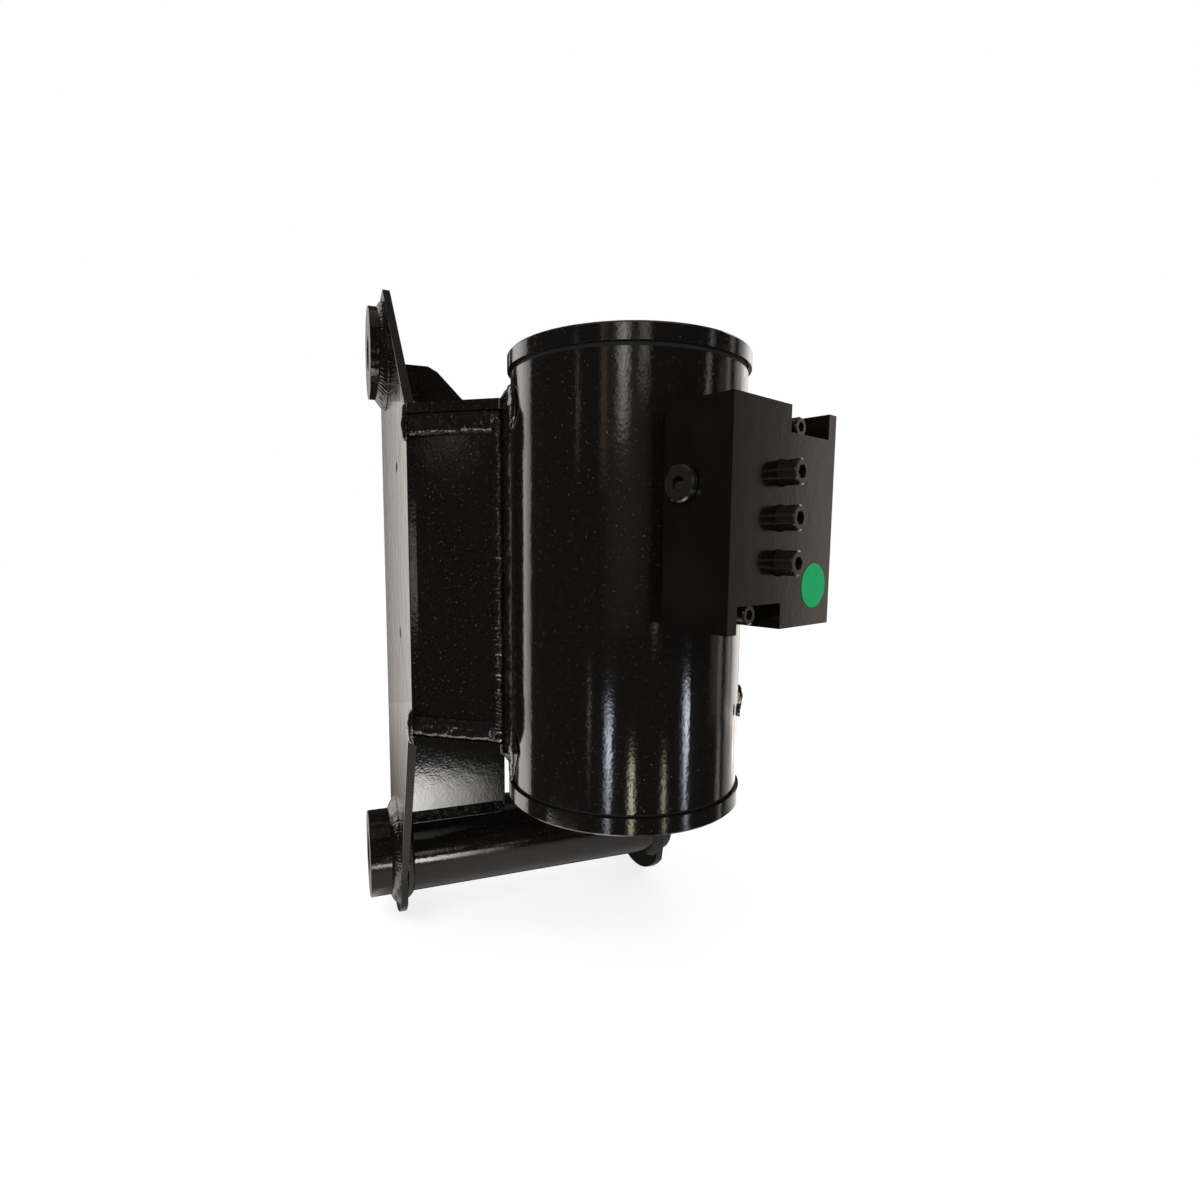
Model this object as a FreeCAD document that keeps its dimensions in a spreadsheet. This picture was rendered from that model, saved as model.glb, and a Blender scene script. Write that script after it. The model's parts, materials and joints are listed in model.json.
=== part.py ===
import FreeCAD, Part
import Sketcher
import math
import os
from FreeCAD import Vector, Rotation, Placement

# Hydraulic helical rotary actuator: housing, geared piston and shaft, welded pivot bracket, manifold block.
# Frame: origin on the shaft axis at mid height of the housing, +Z up the shaft, -X towards the bracket.
doc = FreeCAD.newDocument("rotary_actuator")
sheet = doc.addObject("Spreadsheet::Sheet", "sizes")

# Driving sizes in millimetres.
SIZES = [
    ("running_gap", 0.06), ("seat_gap", 0.05), ("part_gap", 0.3), ("weld_gap", 0.1),
    # Housing tube and its two rotating ends.
    ("tube_radius", 90), ("tube_wall", 20), ("tube_half", 155), ("rim_overhang", 2.5),
    ("flange_gap", 3), ("flange_thick", 12), ("cap_thick", 13), ("rim_chamfer", 1.5),
    ("tube_bore", "=tube_radius - tube_wall"), ("rim_radius", "=tube_radius + rim_overhang"),
    ("end_z", "=tube_half + flange_gap + flange_thick"),
    ("bearing_wall", 8), ("spigot_radius", "=tube_bore - bearing_wall"),
    ("spigot_drop", 19), ("spigot_z", "=tube_half - spigot_drop"), ("centre_bore", 20), ("cap_bore", 30),
    ("bolt_circle", 50), ("bolt_radius", 6), ("bolt_depth", 24), ("bolt_count", 8),
    # Bearings, seals and thrust washers.
    ("bearing_drop", 1), ("bearing_height", 10), ("seal_rise", 1.5), ("seal_height", 5),
    ("washer_edge", 1.5),
    ("bearing_high", "=tube_half - bearing_drop"), ("bearing_low", "=bearing_high - bearing_height"),
    ("seal_low", "=spigot_z + seal_rise"), ("seal_high", "=seal_low + seal_height"),
    ("washer_inner", "=spigot_radius + 2"), ("washer_outer", "=tube_radius - washer_edge"),
    # Helical gearing.
    ("gear_lead", 400), ("gear_starts", 6), ("tooth_depth", 5), ("flank_gap_degrees", 0.8),
    ("gear_step", 10),
    ("core_radius", 36), ("sleeve_root", 50), ("mesh_gap", 0.5),
    ("gear_low", 0), ("gear_high", 52), ("sleeve_half", 83), ("head_thick", 26), ("inner_teeth_low", -35),
    ("head_radius", "=tube_bore - part_gap"), ("seal_ring_depth", 3.7),
    ("seal_ring_inner", "=tube_bore - seal_ring_depth"), ("seal_ring_mid", -70), ("seal_ring_height", 6),
    ("inner_seal_outer", 39.5), ("inner_seal_height", 4),
    # Bracket plates.
    ("plate_thick", 8), ("side_face", 159.4), ("side_front", -74), ("side_rear", -341),
    ("corner_nick", 5), ("top_setback", 16), ("bottom_setback", 17),
    ("gusset_top", "=tube_half - top_setback"), ("gusset_bottom", "=bottom_setback - tube_half"),
    ("step_x", -86), ("tip_x", -280), ("tip_z", 297),
    ("low_front_x", -112), ("low_knee_x", -222), ("low_knee_z", -334),
    ("lobe_x", -297), ("lobe_z", -307), ("lobe_radius", 90), ("heel_z", -370),
    ("pivot_x", -265), ("pivot_z", -316.5), ("pivot_radius", 46.6), ("pivot_bore", 25.4),
    ("pivot_near", 190), ("pivot_far", 168), ("boss_x", -270), ("boss_z", 226), ("boss_radius", 46),
    ("boss_bore", 18), ("boss_length", 17), ("side_hole", 5), ("side_hole_x", -163),
    ("side_hole_high", 99), ("side_hole_low", -55),
    ("rear_x", -253), ("rear_top", 213), ("rear_shoulder", 113), ("rear_inner", 38),
    ("web_lift", 5.5), ("web_outer_x", -24), ("web_inset", 3), ("nose", 5), ("weld_leg", 8),
    ("web_outer_y", "=tube_radius + web_lift"),
    ("fillet_depth", 19),
    # Manifold block, in its own frame turned about Z: x away from the shaft, y across, z up.
    ("block_turn", 20.9), ("block_mid", 46.2), ("block_width", 115), ("block_height", 140),
    ("block_thick", 51),
    ("notch_start", 2.5), ("notch_end", 48.5), ("notch_depth", 16.8), ("ledge_back", 34), ("ledge_drop", 4),
    ("pad_half_width", 40), ("pad_half_height", 64), ("pad_flat", 3),
    ("screw_pitch", 27.8), ("screw_shift", -4), ("screw_radius", 5), ("screw_head", 8), ("screw_length", 70),
    ("key_flats", 8), ("washer_thick", 2.6), ("small_screw_y", 25.5), ("small_screw_z", 60),
    ("small_screw_radius", 4), ("small_screw_head", 6.5), ("small_screw_length", 50), ("small_key_flats", 6),
    ("plug_x", 105.5), ("plug_z", 66.2), ("plug_radius", 11.6), ("plug_head", 5), ("plug_thread", 8.5),
    ("plug_length", 12), ("plug_key", 8.5), ("port_radius", 4), ("port_offset", 50), ("port_seal_radius", 8),
    ("dot_radius", 14.8), ("dot_thick", 0.4), ("dot_y", 36.4), ("dot_z", 2.8),
    ("nipple_turn", 55.4), ("nipple_z", -98), ("nipple_radius", 4),
    ("lock_rise", 6), ("lock_z", "=lock_rise - end_z"), ("lock_radius", 2.5), ("lock_length", 16),
    ("lock_turn_a", 112.5), ("lock_turn_b", 247.5),
]
for row, (alias, number) in enumerate(SIZES, start=1):
    sheet.set("A%d" % row, alias)
    sheet.set("B%d" % row, str(number))
    sheet.setAlias("B%d" % row, alias)
doc.recompute()


class Size:
    """A number together with the spreadsheet expression that gives it."""

    def __init__(self, number, text):
        self.number = float(number)
        self.text = text

    def _join(self, other, sign, number):
        return Size(number, "(%s %s %s)" % (self.text, sign, as_size(other).text))

    def __add__(self, other):
        return self._join(other, "+", self.number + as_size(other).number)

    def __sub__(self, other):
        return self._join(other, "-", self.number - as_size(other).number)

    def __mul__(self, other):
        return self._join(other, "*", self.number * as_size(other).number)

    def __truediv__(self, other):
        return self._join(other, "/", self.number / as_size(other).number)

    def __neg__(self):
        return Size(-self.number, "(0 - %s)" % self.text)


def as_size(value):
    if isinstance(value, Size):
        return value
    return Size(value, repr(float(value)))


def size(alias):
    return Size(float(sheet.get(alias)), "sizes." + alias)


def num(alias):
    return float(sheet.get(alias))


def origin_plane(body, role):
    for feature in body.Origin.OriginFeatures:
        if feature.Role == role:
            return feature


def new_body(label):
    body = doc.addObject("PartDesign::Body", label)
    body.Label = label
    return body


def new_sketch(body, name, role, offset=None):
    sketch = body.newObject("Sketcher::SketchObject", name)
    sketch.AttachmentSupport = [(origin_plane(body, role), "")]
    sketch.MapMode = "FlatFace"
    if offset is not None:
        sketch.AttachmentOffset = Placement(Vector(0, 0, as_size(offset).number), Rotation())
        sketch.setExpression("AttachmentOffset.Base.z", as_size(offset).text)
    return sketch


def pin(sketch, kind, geometry, point, value):
    """Tie one coordinate of a sketch point to a size."""
    value = as_size(value)
    index = sketch.addConstraint(Sketcher.Constraint(kind, -1, 1, geometry, point, value.number))
    sketch.setExpression("Constraints[%d]" % index, value.text)


def draw_polygon(sketch, corners):
    points = [(as_size(a), as_size(b)) for a, b in corners]
    base = sketch.GeometryCount
    count = len(points)
    for i in range(count):
        a, b = points[i]
        c, d = points[(i + 1) % count]
        line = Part.LineSegment(Vector(a.number, b.number, 0), Vector(c.number, d.number, 0))
        sketch.addGeometry(line, False)
    for i in range(count):
        sketch.addConstraint(Sketcher.Constraint("Coincident", base + i, 2, base + (i + 1) % count, 1))
    for i in range(count):
        pin(sketch, "DistanceX", base + i, 1, points[i][0])
        pin(sketch, "DistanceY", base + i, 1, points[i][1])


def draw_circle(sketch, across, up, radius):
    across, up, radius = as_size(across), as_size(up), as_size(radius)
    circle = Part.Circle(Vector(across.number, up.number, 0), Vector(0, 0, 1), radius.number)
    geometry = sketch.addGeometry(circle, False)
    index = sketch.addConstraint(Sketcher.Constraint("Radius", geometry, radius.number))
    sketch.setExpression("Constraints[%d]" % index, radius.text)
    pin(sketch, "DistanceX", geometry, 3, across)
    pin(sketch, "DistanceY", geometry, 3, up)


def add_pad(body, sketch, length, name, reverse=False, middle=False):
    feature = body.newObject("PartDesign::Pad", name)
    feature.Profile = sketch
    feature.Length = as_size(length).number
    feature.setExpression("Length", as_size(length).text)
    feature.Reversed = reverse
    feature.Midplane = middle
    return feature


def add_pocket(body, sketch, length, name, reverse=False, middle=False):
    feature = body.newObject("PartDesign::Pocket", name)
    feature.Profile = sketch
    feature.Length = as_size(length).number
    feature.setExpression("Length", as_size(length).text)
    feature.Reversed = reverse
    feature.Midplane = middle
    return feature


def add_turned(body, sketch, name, axis="V_Axis"):
    feature = body.newObject("PartDesign::Revolution", name)
    feature.Profile = sketch
    feature.ReferenceAxis = (sketch, [axis])
    feature.Angle = 360
    return feature


def turned(label, corners):
    """A ring or stepped disc turned about Z from (radius, height) corners."""
    body = new_body(label)
    sketch = new_sketch(body, label + "_profile", "XZ_Plane")
    draw_polygon(sketch, corners)
    add_turned(body, sketch, label + "_turning")
    return body


def ring(label, inner, outer, low, high):
    return turned(label, [(inner, low), (outer, low), (outer, high), (inner, high)])


def feature(label, shape):
    item = doc.addObject("Part::Feature", label)
    item.Label = label
    item.Shape = shape
    return item


def cylinder(radius, length, base, axis):
    return Part.makeCylinder(radius, length, base, axis)


def boolean(kind, label, items):
    item = doc.addObject(kind, label)
    item.Label = label
    if kind == "Part::Cut":
        item.Base = items[0]
        item.Tool = items[1]
    else:
        item.Shapes = items
    return item


nodes = []

# Housing: a plain tube with radial ports and one drilled passage down its wall to the lower chamber.
tube = ring("housing_tube_blank", size("tube_bore"), size("tube_radius"), -size("tube_half"),
            size("tube_half"))
turn = math.radians(num("block_turn"))
out = Vector(math.cos(turn), math.sin(turn), 0)
side = Vector(-math.sin(turn), math.cos(turn), 0)


def on_block(x, y, z):
    """A point in the block's frame, carried into the part's frame."""
    return out * x + side * y + Vector(0, 0, z)


upper_port = num("block_mid") + num("port_offset")
lower_port = num("block_mid") - num("port_offset")
wall_mid = (num("tube_bore") + num("tube_radius")) / 2
drill = num("port_radius")
tools = [
    cylinder(drill, 30, on_block(num("tube_bore") - 5, 0, upper_port), out),
    cylinder(drill, 15, on_block(wall_mid, 0, lower_port), out),
    cylinder(drill, lower_port + num("tube_half") + 1, on_block(wall_mid, 0, -num("tube_half") - 1),
             Vector(0, 0, 1)),
    cylinder(drill, 12, on_block(num("tube_bore") - 2, 0, -num("spigot_z") + 6), out),
]
hold = num("weld_gap")
flat = Part.makeBox(20, 2 * num("pad_half_width"), 2 * num("pad_half_height"),
                    Vector(num("tube_radius") - num("pad_flat"), -num("pad_half_width"),
                           num("block_mid") - num("pad_half_height")))
flat.rotate(Vector(0, 0, 0), Vector(0, 0, 1), num("block_turn"))
tools.append(flat)
tip = num("tube_radius") + num("block_thick") + num("washer_thick") - num("screw_length")
for step in (-1, 0, 1):
    z = num("block_mid") + step * num("screw_pitch")
    tools.append(cylinder(num("screw_radius") + hold, 40, on_block(tip - 1, num("screw_shift"), z), out))
ledge = num("tube_radius") + num("ledge_back")
small_tip = ledge + 2 - num("small_screw_length")
for sign in (-1, 1):
    place = on_block(small_tip - 1, sign * num("small_screw_y"),
                     num("block_mid") + sign * num("small_screw_z"))
    tools.append(cylinder(num("small_screw_radius") + hold, 40, place, out))
nipple_turn = math.radians(num("nipple_turn"))
nipple_out = Vector(math.cos(nipple_turn), math.sin(nipple_turn), 0)
nipple_at = nipple_out * (num("tube_radius") - 8) + Vector(0, 0, num("nipple_z"))
tools.append(cylinder(num("nipple_radius") + hold, 20, nipple_at, nipple_out))
drillings = feature("housing_drillings", Part.makeCompound(tools))
nodes.append(boolean("Part::Cut", "housing_tube", [tube, drillings]))
gallery_plug = feature("gallery_plug", cylinder(
    drill - num("seat_gap"), 10, on_block(wall_mid, 0, -num("tube_half")), Vector(0, 0, 1)))
nodes.append(gallery_plug)


# Helical gearing: one toothed outline turned step by step up the axis and joined by narrow facets.
def helical_prism(root, tip, width_degrees, low, high, hand):
    """A toothed bar between two heights; hand is 1 for a right-hand helix and -1 for a left-hand one."""
    starts = int(num("gear_starts"))
    pitch = 360.0 / starts
    half = width_degrees / 2
    outline = []
    for i in range(starts):
        middle = i * pitch
        outline.append((root, middle - half))
        for angle in (-half, 0, half):
            outline.append((tip, middle + angle))
        outline.append((root, middle + half))
        outline.append((root, middle + pitch / 2))
    steps = math.ceil((high - low) / num("gear_step"))
    rings = []
    for k in range(steps + 1):
        z = low + (high - low) * k / steps
        points = []
        for radius, angle in outline:
            turned_angle = math.radians(angle + hand * 360.0 * z / num("gear_lead"))
            points.append(Vector(radius * math.cos(turned_angle), radius * math.sin(turned_angle), z))
        rings.append(points)
    count = len(outline)
    faces = [Part.Face(Part.makePolygon(rings[0] + rings[0][:1])),
             Part.Face(Part.makePolygon(rings[-1] + rings[-1][:1]))]
    for k in range(steps):
        for i in range(count):
            j = (i + 1) % count
            a, b, c, d = rings[k][i], rings[k][j], rings[k + 1][j], rings[k + 1][i]
            if hand > 0:
                a, b, c, d = b, c, d, a
            faces.append(Part.Face(Part.makePolygon([a, b, c, a])))
            faces.append(Part.Face(Part.makePolygon([a, c, d, a])))
    shell = Part.makeShell(faces)
    shell.sewShape()
    solid = Part.makeSolid(shell)
    if solid.Volume < 0:
        solid.reverse()
    return solid


depth = num("tooth_depth")
mesh = num("mesh_gap")
pitch_degrees = 360.0 / num("gear_starts")
tooth = pitch_degrees / 2 - num("flank_gap_degrees")
space = pitch_degrees / 2 + num("flank_gap_degrees")
core = num("core_radius")
sleeve_root = num("sleeve_root")
low, high = num("gear_low"), num("gear_high")
blank = cylinder(num("tube_bore") - num("seat_gap"), high - low, Vector(0, 0, low), Vector(0, 0, 1))
ring_space = helical_prism(sleeve_root + mesh, sleeve_root + depth + mesh, space, low - 2, high + 2, 1)
nodes.append(feature("ring_gear", blank.cut(ring_space)))

half = num("sleeve_half")
head_top = num("head_thick") - half
bore = core + depth + mesh
seal_half = num("seal_ring_height") / 2 + num("part_gap")
seal_mid = num("seal_ring_mid")
up = Vector(0, 0, 1)
sleeve = helical_prism(sleeve_root, sleeve_root + depth, tooth, head_top - 4, half, 1)
head = cylinder(num("head_radius"), num("head_thick"), Vector(0, 0, -half), up)
groove = cylinder(num("head_radius") + 2, 2 * seal_half, Vector(0, 0, seal_mid - seal_half), up)
groove = groove.cut(cylinder(num("seal_ring_inner") - num("part_gap"), 40, Vector(0, 0, seal_mid - 20), up))
inner_seal_low = seal_mid - num("inner_seal_height") / 2
sleeve = sleeve.fuse(head).cut(groove)
sleeve = sleeve.cut(cylinder(core + num("part_gap"), 2 * half + 2, Vector(0, 0, -half - 1), up))
seal_groove = cylinder(num("inner_seal_outer"), num("inner_seal_height"), Vector(0, 0, inner_seal_low), up)
sleeve = sleeve.cut(seal_groove)
inner_low = num("inner_teeth_low")
sleeve = sleeve.cut(cylinder(bore, inner_low - head_top, Vector(0, 0, head_top), up))
sleeve = sleeve.cut(helical_prism(core + 2 * mesh, bore + 0.05, space, inner_low - 2, half + 2, -1))
nodes.append(feature("piston_sleeve", sleeve))

# Shaft: flange, spigot and core turned in one, with its own short helical teeth.
shaft_core = turned("shaft_core", [
    (size("centre_bore"), -size("end_z")), (size("cap_bore"), -size("end_z")),
    (size("cap_bore"), -size("spigot_z")), (size("core_radius"), -size("spigot_z")),
    (size("core_radius"), size("spigot_z")), (size("spigot_radius"), size("spigot_z")),
    (size("spigot_radius"), size("end_z") - size("flange_thick")),
    (size("rim_radius"), size("end_z") - size("flange_thick")),
    (size("rim_radius"), size("end_z") - size("rim_chamfer")),
    (size("rim_radius") - size("rim_chamfer"), size("end_z")), (size("centre_bore"), size("end_z"))])


def bolt_ring(body, name, top):
    """One tapped hole in an end face, repeated round the bolt circle."""
    direction = top.number > 0
    sketch = new_sketch(body, name + "_circle", "XY_Plane", top)
    draw_circle(sketch, size("bolt_circle"), 0, size("bolt_radius"))
    pocket = add_pocket(body, sketch, size("bolt_depth"), name, reverse=not direction)
    doc.recompute()
    body.Tip = pocket
    pattern = body.newObject("PartDesign::PolarPattern", name + "_ring")
    pattern.Originals = [pocket]
    pattern.Axis = (sketch, ["N_Axis"])
    pattern.Angle = 360
    pattern.Occurrences = int(num("bolt_count"))
    body.Tip = pattern


bolt_ring(shaft_core, "flange_bolts", size("end_z"))
shaft_teeth = feature("shaft_teeth", helical_prism(core - 1, core + depth, tooth, low, high, -1).cut(
    cylinder(core - 4, high - low + 2, Vector(0, 0, low - 1), up)))
nodes.append(boolean("Part::MultiFuse", "shaft", [shaft_core, shaft_teeth]))

cap_blank = turned("end_cap_blank", [
    (size("cap_bore") + size("seat_gap"), -size("end_z")),
    (size("rim_radius") - size("rim_chamfer"), -size("end_z")),
    (size("rim_radius"), size("rim_chamfer") - size("end_z")),
    (size("rim_radius"), size("cap_thick") - size("end_z")),
    (size("spigot_radius"), size("cap_thick") - size("end_z")), (size("spigot_radius"), -size("spigot_z")),
    (size("cap_bore") + size("seat_gap"), -size("spigot_z"))])
bolt_ring(cap_blank, "cap_bolts", -size("end_z"))

# Radial lock screws hold the end cap on the shaft's end.
lock_screws = []
lock_holes = []
for alias in ("lock_turn_a", "lock_turn_b"):
    angle = math.radians(num(alias))
    axis = Vector(math.cos(angle), math.sin(angle), 0)
    start = Vector(0, 0, num("lock_z"))
    lock_screws.append(cylinder(num("lock_radius"), num("lock_length"),
                                axis * (num("cap_bore") + 0.5) + start, axis))
    lock_holes.append(cylinder(num("lock_radius") + num("weld_gap"), num("rim_radius") - num("cap_bore") + 2,
                               axis * num("cap_bore") + start, axis))
lock_tools = feature("lock_screw_holes", Part.makeCompound(lock_holes))
nodes.append(boolean("Part::Cut", "end_cap", [cap_blank, lock_tools]))
nodes.append(feature("cap_lock_screws", Part.makeCompound(lock_screws)))

# Bearings, shaft seals, thrust washers and piston seals.
seat = size("tube_bore") - size("seat_gap")
journal = size("spigot_radius") + size("running_gap")
nodes.append(ring("upper_bearing_ring", journal, seat, size("bearing_low"), size("bearing_high")))
nodes.append(ring("lower_bearing_ring", journal, seat, -size("bearing_high"), -size("bearing_low")))
nodes.append(ring("upper_shaft_seal", journal, seat, size("seal_low"), size("seal_high")))
nodes.append(ring("lower_shaft_seal", journal, seat, -size("seal_high"), -size("seal_low")))
nodes.append(ring("upper_thrust_washer", size("washer_inner"), size("washer_outer"), size("tube_half"),
                  size("end_z") - size("flange_thick") - size("weld_gap")))
nodes.append(ring("lower_thrust_washer", size("washer_inner"), size("washer_outer"),
                  size("cap_thick") - size("end_z") + size("weld_gap"), -size("tube_half")))
ring_half = size("seal_ring_height") / 2
nodes.append(ring("piston_seal_ring", size("seal_ring_inner"), size("tube_bore") - size("running_gap"),
                  size("seal_ring_mid") - ring_half, size("seal_ring_mid") + ring_half))
inner_half = size("inner_seal_height") / 2
nodes.append(ring("piston_inner_seal", size("core_radius") + size("running_gap"),
                  size("inner_seal_outer") - size("seat_gap"),
                  size("seal_ring_mid") - inner_half, size("seal_ring_mid") + inner_half))


# Bracket side plates: a tall profiled plate with a broad round foot about the pivot tube.
def side_plate(label, sign):
    body = new_body(label)
    inner = size("side_face") - size("plate_thick")
    start = -inner if sign < 0 else size("side_face")
    nick = size("corner_nick")
    foot = []
    for degrees in range(-112, -39, 9):
        across, drop = math.cos(math.radians(degrees)), math.sin(math.radians(degrees))
        foot.append((size("lobe_x") + size("lobe_radius") * across,
                     size("lobe_z") + size("lobe_radius") * drop))
    sketch = new_sketch(body, label + "_outline", "XZ_Plane", -start)
    draw_polygon(sketch, [
        (size("side_front"), size("gusset_bottom")), (size("side_front"), size("gusset_top")),
        (size("step_x"), size("gusset_top") + 3), (size("tip_x") + nick * 0.5, size("tip_z") - nick * 0.8),
        (size("tip_x") - nick * 0.7, size("tip_z")),
        (size("side_rear") + nick, size("tip_z")), (size("side_rear"), size("tip_z") - nick),
        (size("side_rear"), size("heel_z")),
        (size("side_rear") + 2.5, size("heel_z") - 12)] + foot + [
        (size("low_knee_x"), size("low_knee_z")), (size("low_front_x"), size("gusset_bottom") - 8)])
    add_pad(body, sketch, size("plate_thick"), label + "_plate")
    holes = new_sketch(body, label + "_holes_sketch", "XZ_Plane", -start)
    draw_circle(holes, size("pivot_x"), size("pivot_z"), size("pivot_radius") + size("weld_gap"))
    draw_circle(holes, size("boss_x"), size("boss_z"), size("boss_bore"))
    draw_circle(holes, size("side_hole_x"), size("side_hole_high"), size("side_hole"))
    draw_circle(holes, size("side_hole_x"), size("side_hole_low"), size("side_hole"))
    add_pocket(body, holes, size("plate_thick") * 4, label + "_holes", middle=True)
    return body


nodes.append(side_plate("near_side_plate", -1))
nodes.append(side_plate("far_side_plate", 1))


# Upper pin bosses stand on the outer faces of the side plates.
def round_along_y(label, across, up_z, outer, inner, start, length):
    body = new_body(label)
    sketch = new_sketch(body, label + "_rings", "XZ_Plane", -as_size(start))
    draw_circle(sketch, across, up_z, outer)
    draw_circle(sketch, across, up_z, inner)
    add_pad(body, sketch, length, label + "_wall")
    return body


nodes.append(round_along_y("near_upper_boss", size("boss_x"), size("boss_z"), size("boss_radius"),
                           size("boss_bore"), -size("side_face"), size("boss_length")))
nodes.append(round_along_y("far_upper_boss", size("boss_x"), size("boss_z"), size("boss_radius"),
                           size("boss_bore"), size("side_face") + size("boss_length"), size("boss_length")))
nodes.append(round_along_y("pivot_tube", size("pivot_x"), size("pivot_z"), size("pivot_radius"),
                           size("pivot_bore"), size("pivot_far"), size("pivot_far") + size("pivot_near")))


# Gussets: flat plates that hug the tube and close the bracket above and below.
def gusset(label, low_z):
    body = new_body(label)
    inner = size("side_face") - size("plate_thick")
    rear = size("rear_x") + size("plate_thick")
    nose = size("side_front") + size("nose")
    sketch = new_sketch(body, label + "_outline", "XY_Plane", low_z)
    draw_polygon(sketch, [
        (rear, -inner), (size("side_front"), -inner), (size("side_front"), -size("side_face")),
        (nose, -size("side_face")), (size("web_outer_x"), -size("web_outer_y")), (size("web_outer_x"), -70),
        (size("web_outer_x"), 70), (size("web_outer_x"), size("web_outer_y")), (nose, size("side_face")),
        (size("side_front"), size("side_face")), (size("side_front"), inner), (rear, inner)])
    add_pad(body, sketch, size("plate_thick"), label + "_plate")
    hole = new_sketch(body, label + "_seat_circle", "XY_Plane", low_z)
    draw_circle(hole, 0, 0, size("tube_radius") + size("weld_gap"))
    add_pocket(body, hole, size("plate_thick") * 4, label + "_seat", middle=True)
    return body


nodes.append(gusset("top_gusset_plate", size("gusset_top") - size("plate_thick")))
nodes.append(gusset("bottom_gusset_plate", size("gusset_bottom")))


# Diagonal webs run from the side plates' front edges to the tube, between the gussets.
def diagonal_web(label, sign):
    body = new_body(label)
    sketch = new_sketch(body, label + "_outline", "XY_Plane", size("gusset_bottom") + size("plate_thick"))
    run = num("web_outer_x") - num("side_front") - num("nose")
    rise = num("side_face") - num("web_outer_y")
    length = math.hypot(run, rise)
    normal = (-rise / length, -run / length)
    inset, thick = size("web_inset"), size("web_inset") + size("plate_thick")
    start = (size("side_front") + 4, size("side_face") - 4.5)
    finish = (size("web_outer_x"), size("web_outer_y"))
    corners = []
    for point, back in ((start, inset), (finish, inset), (finish, thick), (start, thick)):
        corners.append((point[0] + back * normal[0], (point[1] + back * normal[1]) * sign))
    corners[0] = (size("side_front"), corners[0][1])
    corners[3] = (size("side_front"), (size("side_face") - size("plate_thick")) * sign)
    draw_polygon(sketch, corners)
    tall = size("gusset_top") - size("gusset_bottom") - size("plate_thick") * 2
    add_pad(body, sketch, tall, label + "_plate")
    hole = new_sketch(body, label + "_seat_circle", "XY_Plane")
    draw_circle(hole, 0, 0, size("tube_radius") + size("weld_gap"))
    add_pocket(body, hole, tall * 4, label + "_seat", middle=True)
    return body


nodes.append(diagonal_web("near_web_plate", -1))
nodes.append(diagonal_web("far_web_plate", 1))


# Rear plates: behind the gussets, sloping down to an open middle, standing on the pivot tube.
def rear_plate(label, sign):
    body = new_body(label)
    sketch = new_sketch(body, label + "_outline", "YZ_Plane", size("rear_x"))
    inner = (size("side_face") - size("plate_thick")) * sign
    foot = size("rear_shoulder") - size("rear_inner")
    nick = size("corner_nick")
    draw_polygon(sketch, [
        (inner, size("pivot_z")), (inner, size("rear_top")),
        ((size("rear_shoulder") + nick) * sign, size("rear_top")),
        ((size("rear_shoulder") - nick) * sign, size("rear_top") - nick),
        (size("rear_inner") * sign, size("rear_top") - foot),
        (size("rear_inner") * sign, size("pivot_z"))])
    add_pad(body, sketch, size("plate_thick"), label + "_plate")
    hole = new_sketch(body, label + "_tube_circle", "XZ_Plane")
    draw_circle(hole, size("pivot_x"), size("pivot_z"), size("pivot_radius") + size("weld_gap"))
    add_pocket(body, hole, size("side_face") * 4, label + "_tube_seat", middle=True)
    return body


nodes.append(rear_plate("near_rear_plate", -1))
nodes.append(rear_plate("far_rear_plate", 1))

# Fillet welds: turned triangles round the bosses, the pivot tube and the housing.
leg = num("weld_leg")


def ring_bead(centre, axis, radius, tall=None, start=0.0, sweep=360.0):
    """A triangular fillet with its flat on a plate at the centre, rising along the axis up a round part."""
    tall = tall or leg
    frame = Rotation(Vector(0, 0, 1), axis)
    profile = Part.makePolygon([
        Vector(radius, 0, 0), Vector(radius + leg, 0, 0), Vector(radius, 0, tall), Vector(radius, 0, 0)])
    bead = Part.Face(profile).revolve(Vector(0, 0, 0), Vector(0, 0, 1), sweep)
    bead.rotate(Vector(0, 0, 0), Vector(0, 0, 1), start)
    bead.Placement = Placement(centre, frame).multiply(bead.Placement)
    return bead


face = num("side_face")
back = face - num("plate_thick")
gap = num("seat_gap")
boss_beads = []
for sign in (-1, 1):
    centre = Vector(num("boss_x"), sign * face, num("boss_z"))
    boss_beads.append(ring_bead(centre, Vector(0, sign, 0), num("boss_radius") + gap))
nodes.append(feature("boss_weld_beads", Part.makeCompound(boss_beads)))
pivot_beads = []
for y, sign in ((-face, -1), (-back, 1), (back, -1)):
    centre = Vector(num("pivot_x"), y, num("pivot_z"))
    pivot_beads.append(ring_bead(centre, Vector(0, sign, 0), num("pivot_radius") + gap))
room = Part.makeBox(num("plate_thick") + 0.4, 2 * face + 80, 4 * num("pivot_radius"),
                    Vector(num("rear_x") - 0.2, -face - 40, num("pivot_z")))
pivot_beads = [bead.cut(room) for bead in pivot_beads]
nodes.append(feature("pivot_weld_beads", Part.makeCompound(pivot_beads)))
tube_beads = []
reach = math.degrees(math.acos(num("web_outer_x") / (num("tube_radius") + leg)))
wrap_start = reach - 2
wrap_sweep = 2 * (180 - wrap_start)
for z, sign in ((num("gusset_top") + gap, 1), (num("gusset_bottom") - gap, -1)):
    bead = ring_bead(Vector(0, 0, 0), up, num("tube_radius") + gap, 11, wrap_start, wrap_sweep)
    if sign < 0:
        bead = bead.mirror(Vector(0, 0, 0), up)
    bead.translate(Vector(0, 0, z))
    tube_beads.append(bead)
web_low = num("gusset_bottom") + num("plate_thick") + gap
web_high = num("gusset_top") - num("plate_thick") - gap
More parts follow.
